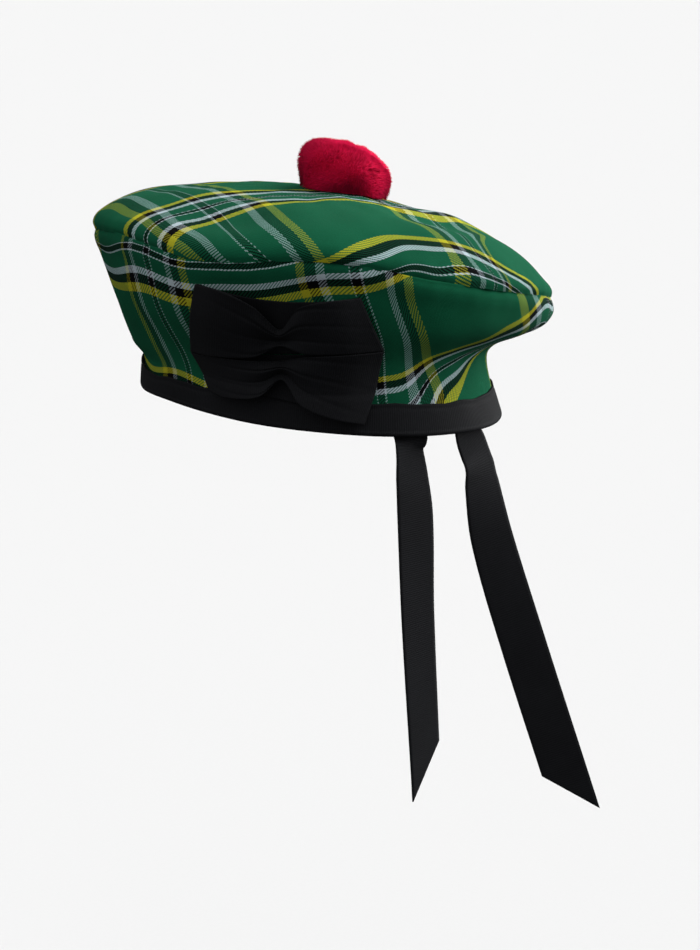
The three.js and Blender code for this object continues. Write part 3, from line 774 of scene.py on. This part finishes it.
def tail(name, sewn_at, cut, hang, gathered):
    """One tail: sewn rows inside the binding, then the hanging rows, swept by the ribbon's width. cut is
    how much longer its right edge is than its left, and gathered the share of its width that is taken up
    where it is sewn."""
    ahead, behind = (spot(sewn_at + step, band_radius(sewn_at + step, 0), 0) for step in (1, -1))
    along = ahead - behind
    facing = np.degrees(np.arctan2(-along[0], along[1]))
    sewn = []
    for z in (TAIL_TUCK, SEWN_DOWN_TO):
        leaf = spot(sewn_at, band_radius(sewn_at, z + section(sewn_at, "dip")) - BAND_WALL, z)
        x, y, _ = leaf - spot(facing, GAP + RIBBON / 2 + TAIL_BOW, 0)
        sewn.append((x, y, z, facing))
    rows = {column: np.append([row[i] for row in sewn], hang[column]) for i, column in enumerate(hang)}
    rows["drop"] = TAIL_TUCK - rows["z"]
    end = rows["drop"][-1]

    def place(drop):
        over = np.maximum(drop - end, 0)
        columns = []
        for column in "xyz":
            line = between(rows, "drop", column, np.minimum(drop, end))
            step = between(rows, "drop", column, end) - between(rows, "drop", column, end - 1)
            columns.append(line + over * step)
        return np.stack(columns, -1)

    side = np.linspace(-1, 1, TAIL_COLUMNS)
    drop = np.linspace(0, 1, TAIL_ROWS)[:, None] * (end + side * cut / 2)
    run = unit(place(drop + 0.5) - place(np.maximum(drop - 0.5, 0)))
    face = spot(between(rows, "drop", "facing", np.minimum(drop, end)), 1, 0)
    face = unit(face - run * (face * run).sum(-1, keepdims=True))
    across = -np.cross(run, face)
    opened = eased((drop - TAIL_TUCK) / GATHERED_LENGTH)
    half_width = TAIL_WIDTH / 2 * (1 - gathered * (1 - opened))
    middle = place(drop) + across * (side * half_width)[..., None]
    leaves = [middle + face * half for half in (TAIL_THICKNESS / 2, -TAIL_THICKNESS / 2)]
    flat = np.stack(np.broadcast_arrays(drop, side * TAIL_WIDTH / 2), -1)
    piece = shell(name, leaves[1], leaves[0], flat, ring=False)
    piece.data.materials.append(black_ribbon)
    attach(piece, "root")
    return piece


tail_left = tail("tail_left_ribbon", sewn_at=67, cut=-26, hang=LEFT_HANG, gathered=0.25)
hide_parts("tail_left")
tail_right = tail("tail_right_ribbon", sewn_at=90, cut=25, hang=RIGHT_HANG, gathered=0.2)
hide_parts("tail_right")

# Toorie
# A pompom of red worsted: thousands of fine cut ends bound in the middle, clipped to a flattened ball and
# sewn down through the middle of the crown, so that it leans with the crown's slope.
TOORIE_WIDTH = 50.5
TOORIE_UP = 14.4
TOORIE_DOWN = 27.3
TOORIE_X, TOORIE_Y, TOORIE_RISE = -3.9, 5.7, 10.2
TOORIE_LEAN = 16
TOORIE_LEAN_AZIMUTH = 126
CLUMP_AZIMUTH, CLUMP_ELEVATION, CLUMP_SPREAD, CLUMP_SIZE = -45, 19, 31, 2.7
YARN_ENDS = 21000  # those that would lie in the crown are left out
YARN_RADIUS = 0.3
YARN_LENGTH = 6.0
YARN_BEND = 0.45  # share of its length, from the tip, where an end of yarn bends
BEND_IN = 0.4  # how far the bend lies toward the middle
ROOT_THICKNESS = 0.8  # for a thickness of one at the bend
CORE_DEPTH = 2.2
TIP_CLEAR = 0.3  # how far the pile stays above the crown
ROOT_CLEAR = 0.4

# Red worsted cut pile: painted shade darkens it to crimson deep between the ends, and painted light makes
# it brighter at their clipped tips, with no shine but a soft bloom where the light grazes the pile, and a
# little unevenness from clump to clump.
PILE_TONES = ((0.1, "#b80630"), (0.9, "#f61a54"))  # shade and colour, darkest and palest
PILE_BLOOM = "#ff5068"
PAINTED_ROOT_SHADE = -0.1
DEPTH_PAINTED_SHADE = 0.5
STRAND_SHADE = 0.2  # from one end of yarn to the next
PATCH_SIZE = 7
PATCH_SHADE = 0.4
red_yarn, tree, output = new_material("red_worsted_pile")
flat_place = add(tree, "SeparateXYZ", inputs={0: add(tree, "UVMap", {"uv_map": "cloth"})})
here = add(tree, "TexCoord").outputs["Object"]
patches = add(tree, "TexNoise", inputs={"Vector": here, "Scale": 1 / (PATCH_SIZE * MM), "Detail": 3.0})
up_yarn_for_painted_shade = flat_place.outputs["Y"]
strand_tone = flat_place.outputs["X"]
pile_shades = ((up_yarn_for_painted_shade, DEPTH_PAINTED_SHADE), (strand_tone, STRAND_SHADE), (patches, PATCH_SHADE))
# Painted depth shade: darker at the roots, lighter toward the tips; strand tones and patches are own tone.
shade = shaded(tree, PAINTED_ROOT_SHADE, pile_shades)
pile = add(tree, "BsdfPrincipled", inputs={
    "Base Color": two_tones(tree, shade, PILE_TONES), "Roughness": 0.95, "Specular IOR Level": 0.1,
    "IOR": 1.54, "Sheen Weight": 0.05, "Sheen Roughness": 0.5, "Sheen Tint": srgb(PILE_BLOOM),
})
tree.links.new(pile.outputs[0], output.inputs[0])

# Soft lumps of the clipped pile and the way its ends are brushed, as waves through the ball
PILE_WAVES = table("x y z phase lump", [
    (3.1, 1.7, -2.3, 10, 0.35),
    (-2.2, 4.1, 1.9, 80, 0.3),
    (5.3, -3.7, 4.4, 200, 0.22),
    (-6.1, -5.2, 3.3, 310, 0.18),
])
LUMP_TURNS = 2  # the lumps are this much finer than the swirls of the brushing
SWIRL_SCALE = 4
BRUSHED = 0.18  # how far the ends lean over, for each millimetre of their length
STANDING = (1, 1, 2)  # the ends stand more upright than straight out of the ball
clump_tilt = math.radians(CLUMP_ELEVATION)
clump_way = spot(CLUMP_AZIMUTH, math.cos(clump_tilt), math.sin(clump_tilt))
lean_axis = spot(TOORIE_LEAN_AZIMUTH + 90, 1, 0)
toorie_lean = np.array(Matrix.Rotation(math.radians(TOORIE_LEAN), 3, lean_axis))
toorie_middle = np.array([TOORIE_X, TOORIE_Y, CROWN_HEIGHT + TOORIE_RISE])


def toorie_reach(way):
    """How far the clipped ball reaches from its middle, by way."""
    wide = np.hypot(way[..., 0], way[..., 1]) / (TOORIE_WIDTH / 2)
    tall = way[..., 2] / np.where(way[..., 2] > 0, TOORIE_UP, TOORIE_DOWN)
    aside = np.degrees(np.arccos(np.clip(way @ clump_way, -1, 1))) / CLUMP_SPREAD
    reach = 1 / np.hypot(wide, tall) + CLUMP_SIZE * np.exp(-(aside ** 2))
    for x, y, z, phase, lump in zip(*PILE_WAVES.values()):
        reach = reach + lump * np.sin(way @ np.array([x, y, z]) * LUMP_TURNS + math.radians(phase))
    return reach[..., None]


def top_height(points):
    """Height of the crown top under points."""
    azimuth = np.degrees(np.arctan2(points[:, 1], points[:, 0]))
    share = np.hypot(points[:, 0], points[:, 1]) / section(azimuth, "seam_r")
    return top_line(azimuth, np.clip(share, 0, 1)[None])[1][0]


# The ends are spread evenly over the ball along a spiral, then each is moved and trimmed by chance
WAY_SCATTER = 0.02
TRIM_MIDDLE = -0.1
TRIM_SCATTER = 0.3
GROW_SCATTER = 0.16
GOLDEN_TURN = math.pi * (3 - math.sqrt(5))
chance = np.random.default_rng(seed=7)
end_number = np.arange(YARN_ENDS)
end_rise = 1 - 2 * (end_number + 0.5) / YARN_ENDS
end_turn = np.degrees(end_number * GOLDEN_TURN)
way = spot(end_turn, np.sqrt(1 - end_rise ** 2), end_rise)
way = unit(way + chance.normal(0, WAY_SCATTER, way.shape))
tips = way * (toorie_reach(way) + chance.normal(TRIM_MIDDLE, TRIM_SCATTER, (YARN_ENDS, 1)))
brush = np.zeros_like(way)
for x, y, z, phase, _ in zip(*PILE_WAVES.values()):
    swirl = np.cos(way @ np.array([x, y, z]) + math.radians(phase))[:, None]
    brush = brush + swirl * np.cross(way, np.array([y, z, x]) / SWIRL_SCALE)
grow = unit(unit(way * STANDING) + BRUSHED * brush + chance.normal(0, GROW_SCATTER, way.shape))
roots = tips - grow * YARN_LENGTH
bends = tips - grow * YARN_LENGTH * YARN_BEND - way * BEND_IN
roots, bends, tips = (points @ toorie_lean.T + toorie_middle for points in (roots, bends, tips))
above = (tips[:, 2] > top_height(tips) + TIP_CLEAR) & (bends[:, 2] > top_height(bends) + TIP_CLEAR)
roots, bends, tips = roots[above], bends[above], tips[above]
roots[:, 2] = np.maximum(roots[:, 2], top_height(roots) + ROOT_CLEAR)
ends = len(tips)

# Each end of yarn is three-sided and runs to a point
SIDES = 3
strand_way = unit(tips - roots)
aside = unit(np.cross(strand_way, chance.normal(0, 1, strand_way.shape)))
beside = np.cross(strand_way, aside)
rings = []
for middle, thick in ((roots, ROOT_THICKNESS), (bends, 1)):
    for corner in range(SIDES):
        angle = 2 * math.pi * corner / SIDES
        rings.append(middle + (aside * math.cos(angle) + beside * math.sin(angle)) * YARN_RADIUS * thick)
strands = np.stack([*rings, tips], 1)
strand_points = 2 * SIDES + 1
edges = [(corner, (corner + 1) % SIDES) for corner in range(SIDES)]
walls = [(this, other, SIDES + other, SIDES + this) for this, other in edges]
points_up = [(SIDES + this, SIDES + other, 2 * SIDES) for this, other in edges]
first_points = strand_points * np.arange(ends)[:, None, None]
quads = (first_points + np.array(walls)).reshape(-1, 4)
triangles = (first_points + np.array([*points_up, (2, 1, 0)])).reshape(-1, 3)

# The bound heart of the pompom, which closes the spaces between the ends
CORE_ROWS, CORE_COLUMNS = 24, 48
CORE_CAP = 0.05  # radians from each pole to the nearest row
polar = np.linspace(CORE_CAP, np.pi - CORE_CAP, CORE_ROWS)[:, None]
spin = np.linspace(0, 360, CORE_COLUMNS, endpoint=False)
core_way = spot(spin, np.sin(polar), np.cos(polar)).reshape(-1, 3)
core = core_way * (toorie_reach(core_way) - CORE_DEPTH) @ toorie_lean.T + toorie_middle
core[:, 2] = np.maximum(core[:, 2], top_height(core) + ROOT_CLEAR)
core_row, core_column = np.mgrid[0:CORE_ROWS - 1, 0:CORE_COLUMNS]
next_column = (core_column + 1) % CORE_COLUMNS
core_start = strand_points * ends
core_corners = [(core_row, core_column), (core_row + 1, core_column),
                (core_row + 1, next_column), (core_row, next_column)]
core_quads = np.stack([r * CORE_COLUMNS + c for r, c in core_corners], -1).reshape(-1, 4) + core_start
core_ring = core_start + np.arange(CORE_COLUMNS)
core_caps = [core_ring.tolist(), (core_ring + (CORE_ROWS - 1) * CORE_COLUMNS)[::-1].tolist()]

BEND_UP = 0.6  # how far up an end of yarn its bend counts, for the painted shade toward the roots
# the bound heart takes the painted shade of the pile's depths
CORE_UP = 0.3
yarn_mesh = bpy.data.meshes.new("toorie_yarn")
all_points = np.concatenate([strands.reshape(-1, 3), core]) * MM
all_faces = quads.tolist() + triangles.tolist() + core_quads.tolist() + core_caps
yarn_mesh.from_pydata(all_points.tolist(), [], all_faces)
tone = np.repeat(chance.random(ends), strand_points)
# how far up each point lies, which sets the pile's painted depth shade
up_strand_for_painted_shade = np.tile([0.0] * SIDES + [BEND_UP] * SIDES + [1.0], ends)
point_flat = np.concatenate([np.stack([tone, up_strand_for_painted_shade], -1), np.full((len(core), 2), CORE_UP)])
layer = yarn_mesh.uv_layers.new(name="cloth")
loop_points = np.empty(len(yarn_mesh.loops), int)
yarn_mesh.loops.foreach_get("vertex_index", loop_points)
layer.data.foreach_set("uv", point_flat[loop_points].astype(np.float32).ravel())
yarn_mesh.shade_smooth()
# The pile is so close that light falls on it as on one soft ball, so its shading follows the way it grows
strand_shading = np.repeat(grow[above] @ toorie_lean.T, strand_points, axis=0)
pile_shading = np.concatenate([strand_shading, core_way @ toorie_lean.T])
yarn_mesh.normals_split_custom_set_from_vertices(pile_shading.tolist())
toorie = bpy.data.objects.new("toorie_yarn", yarn_mesh)
bpy.context.collection.objects.link(toorie)
toorie.data.materials.append(red_yarn)
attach(toorie, "root")
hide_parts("toorie")

# Studio
# A plain pale floor well below the tails, light from a bright ceiling, a large soft light above on the
# right, a weaker one in front on the left, and the camera a little above the bonnet, turned a few degrees.
# Its sizes are metres.
FLOOR_Z = -0.5
FLOOR_SIZE = 400.0
CAMERA_AZIMUTH = 36
CAMERA_ELEVATION = 11.8
CAMERA_ROLL = 3.6
CAMERA_DISTANCE = 1.3
CAMERA_TARGET = (0.01596, -0.042)  # right of the opening's middle and below it, as the camera sees it
CAMERA_LENS = 92.6  # millimetres, as is the sensor
CAMERA_SENSOR = 36

bpy.ops.mesh.primitive_circle_add(
    vertices=96, radius=FLOOR_SIZE, fill_type="NGON", location=(0, 0, FLOOR_Z))
floor = bpy.context.object
floor.name = "studio_floor"
PAPER_GRAIN = 300.0
PAPER_TINT = (0.77, 0.79)
pale_floor, tree, output = new_material("pale_matt_paper")
here = add(tree, "TexCoord").outputs["Object"]
grain = add(tree, "TexNoise", inputs={"Vector": here, "Scale": PAPER_GRAIN})
tint = add(tree, "MapRange", inputs={0: grain, 3: PAPER_TINT[0], 4: PAPER_TINT[1]})
paper = add(tree, "BsdfPrincipled", inputs={
    "Base Color": tint, "Roughness": 0.95, "Specular IOR Level": 0.0,
})
tree.links.new(paper.outputs[0], output.inputs[0])
floor.data.materials.append(pale_floor)
floor.visible_diffuse = False  # the floor's own brightness stays off the bonnet
floor.visible_glossy = False

# Light from above like a large bright ceiling, with little coming back up from below
CEILING_HEIGHTS = (-0.4, 0.8)  # up the sky, where it starts to brighten and where it is brightest
CEILING_LIGHT = (0.06, 0.31)
world = bpy.data.worlds.new("bright_ceiling")
world.use_nodes = True
tree = world.node_tree
sky_way = add(tree, "SeparateXYZ", inputs={0: add(tree, "TexCoord").outputs["Generated"]})
glow = add(tree, "MapRange", {"interpolation_type": "SMOOTHSTEP"}, {
    0: sky_way.outputs["Z"],
    1: CEILING_HEIGHTS[0],
    2: CEILING_HEIGHTS[1],
    3: CEILING_LIGHT[0],
    4: CEILING_LIGHT[1],
})
tree.links.new(glow.outputs[0], tree.nodes["Background"].inputs["Strength"])
tree.nodes["Background"].inputs["Color"].default_value = srgb("#ffffff")
bpy.context.scene.world = world

azimuth, elevation, roll = (math.radians(a) for a in (CAMERA_AZIMUTH, CAMERA_ELEVATION, CAMERA_ROLL))
toward = np.array(spot(CAMERA_AZIMUTH, math.cos(elevation), math.sin(elevation)))
level = np.array([-math.sin(azimuth), math.cos(azimuth), 0])
upright = np.cross(toward, level)
right = level * math.cos(roll) + upright * math.sin(roll)
up = upright * math.cos(roll) - level * math.sin(roll)
target = CAMERA_TARGET[0] * right + CAMERA_TARGET[1] * up
eye = target + toward * CAMERA_DISTANCE


def facing(place, look_from, up_from):
    """A matrix at a place that looks against look_from, with up_from upward."""
    back = unit(look_from)
    side = unit(np.cross(up_from, back))
    matrix = Matrix.Identity(4)
    for column, axis in enumerate((side, np.cross(back, side), back)):
        for row_number in range(3):
            matrix[row_number][column] = axis[row_number]
    matrix.translation = place
    return matrix


camera_data = bpy.data.cameras.new("photo_view")
camera_data.lens = CAMERA_LENS
camera_data.sensor_width = CAMERA_SENSOR
camera = bpy.data.objects.new("photo_view", camera_data)
bpy.context.collection.objects.link(camera)
camera.matrix_world = facing(eye, toward, up)
bpy.context.scene.camera = camera
bpy.context.scene.view_settings.view_transform = "Standard"

# Two large soft lights. spread: degrees of sky that a light fills. across, near and up: where it stands,
# to the camera's right, toward the camera and above.
SOFT_LIGHTS = {
    "soft_key": {"strength": 4.6, "spread": 80, "across": 1.0, "near": -0.5, "up": 0.75},
    "soft_fill": {"strength": 0.9, "spread": 90, "across": -0.5, "near": 0.75, "up": 0.45},
}
for name, lamp in SOFT_LIGHTS.items():
    light_data = bpy.data.lights.new(name, "SUN")
    light_data.energy = lamp["strength"]
    light_data.angle = math.radians(lamp["spread"])
    light = bpy.data.objects.new(name, light_data)
    bpy.context.collection.objects.link(light)
    shines_from = lamp["across"] * level + lamp["near"] * toward + np.array([0, 0, lamp["up"]])
    light.matrix_world = facing(shines_from, shines_from, upright)
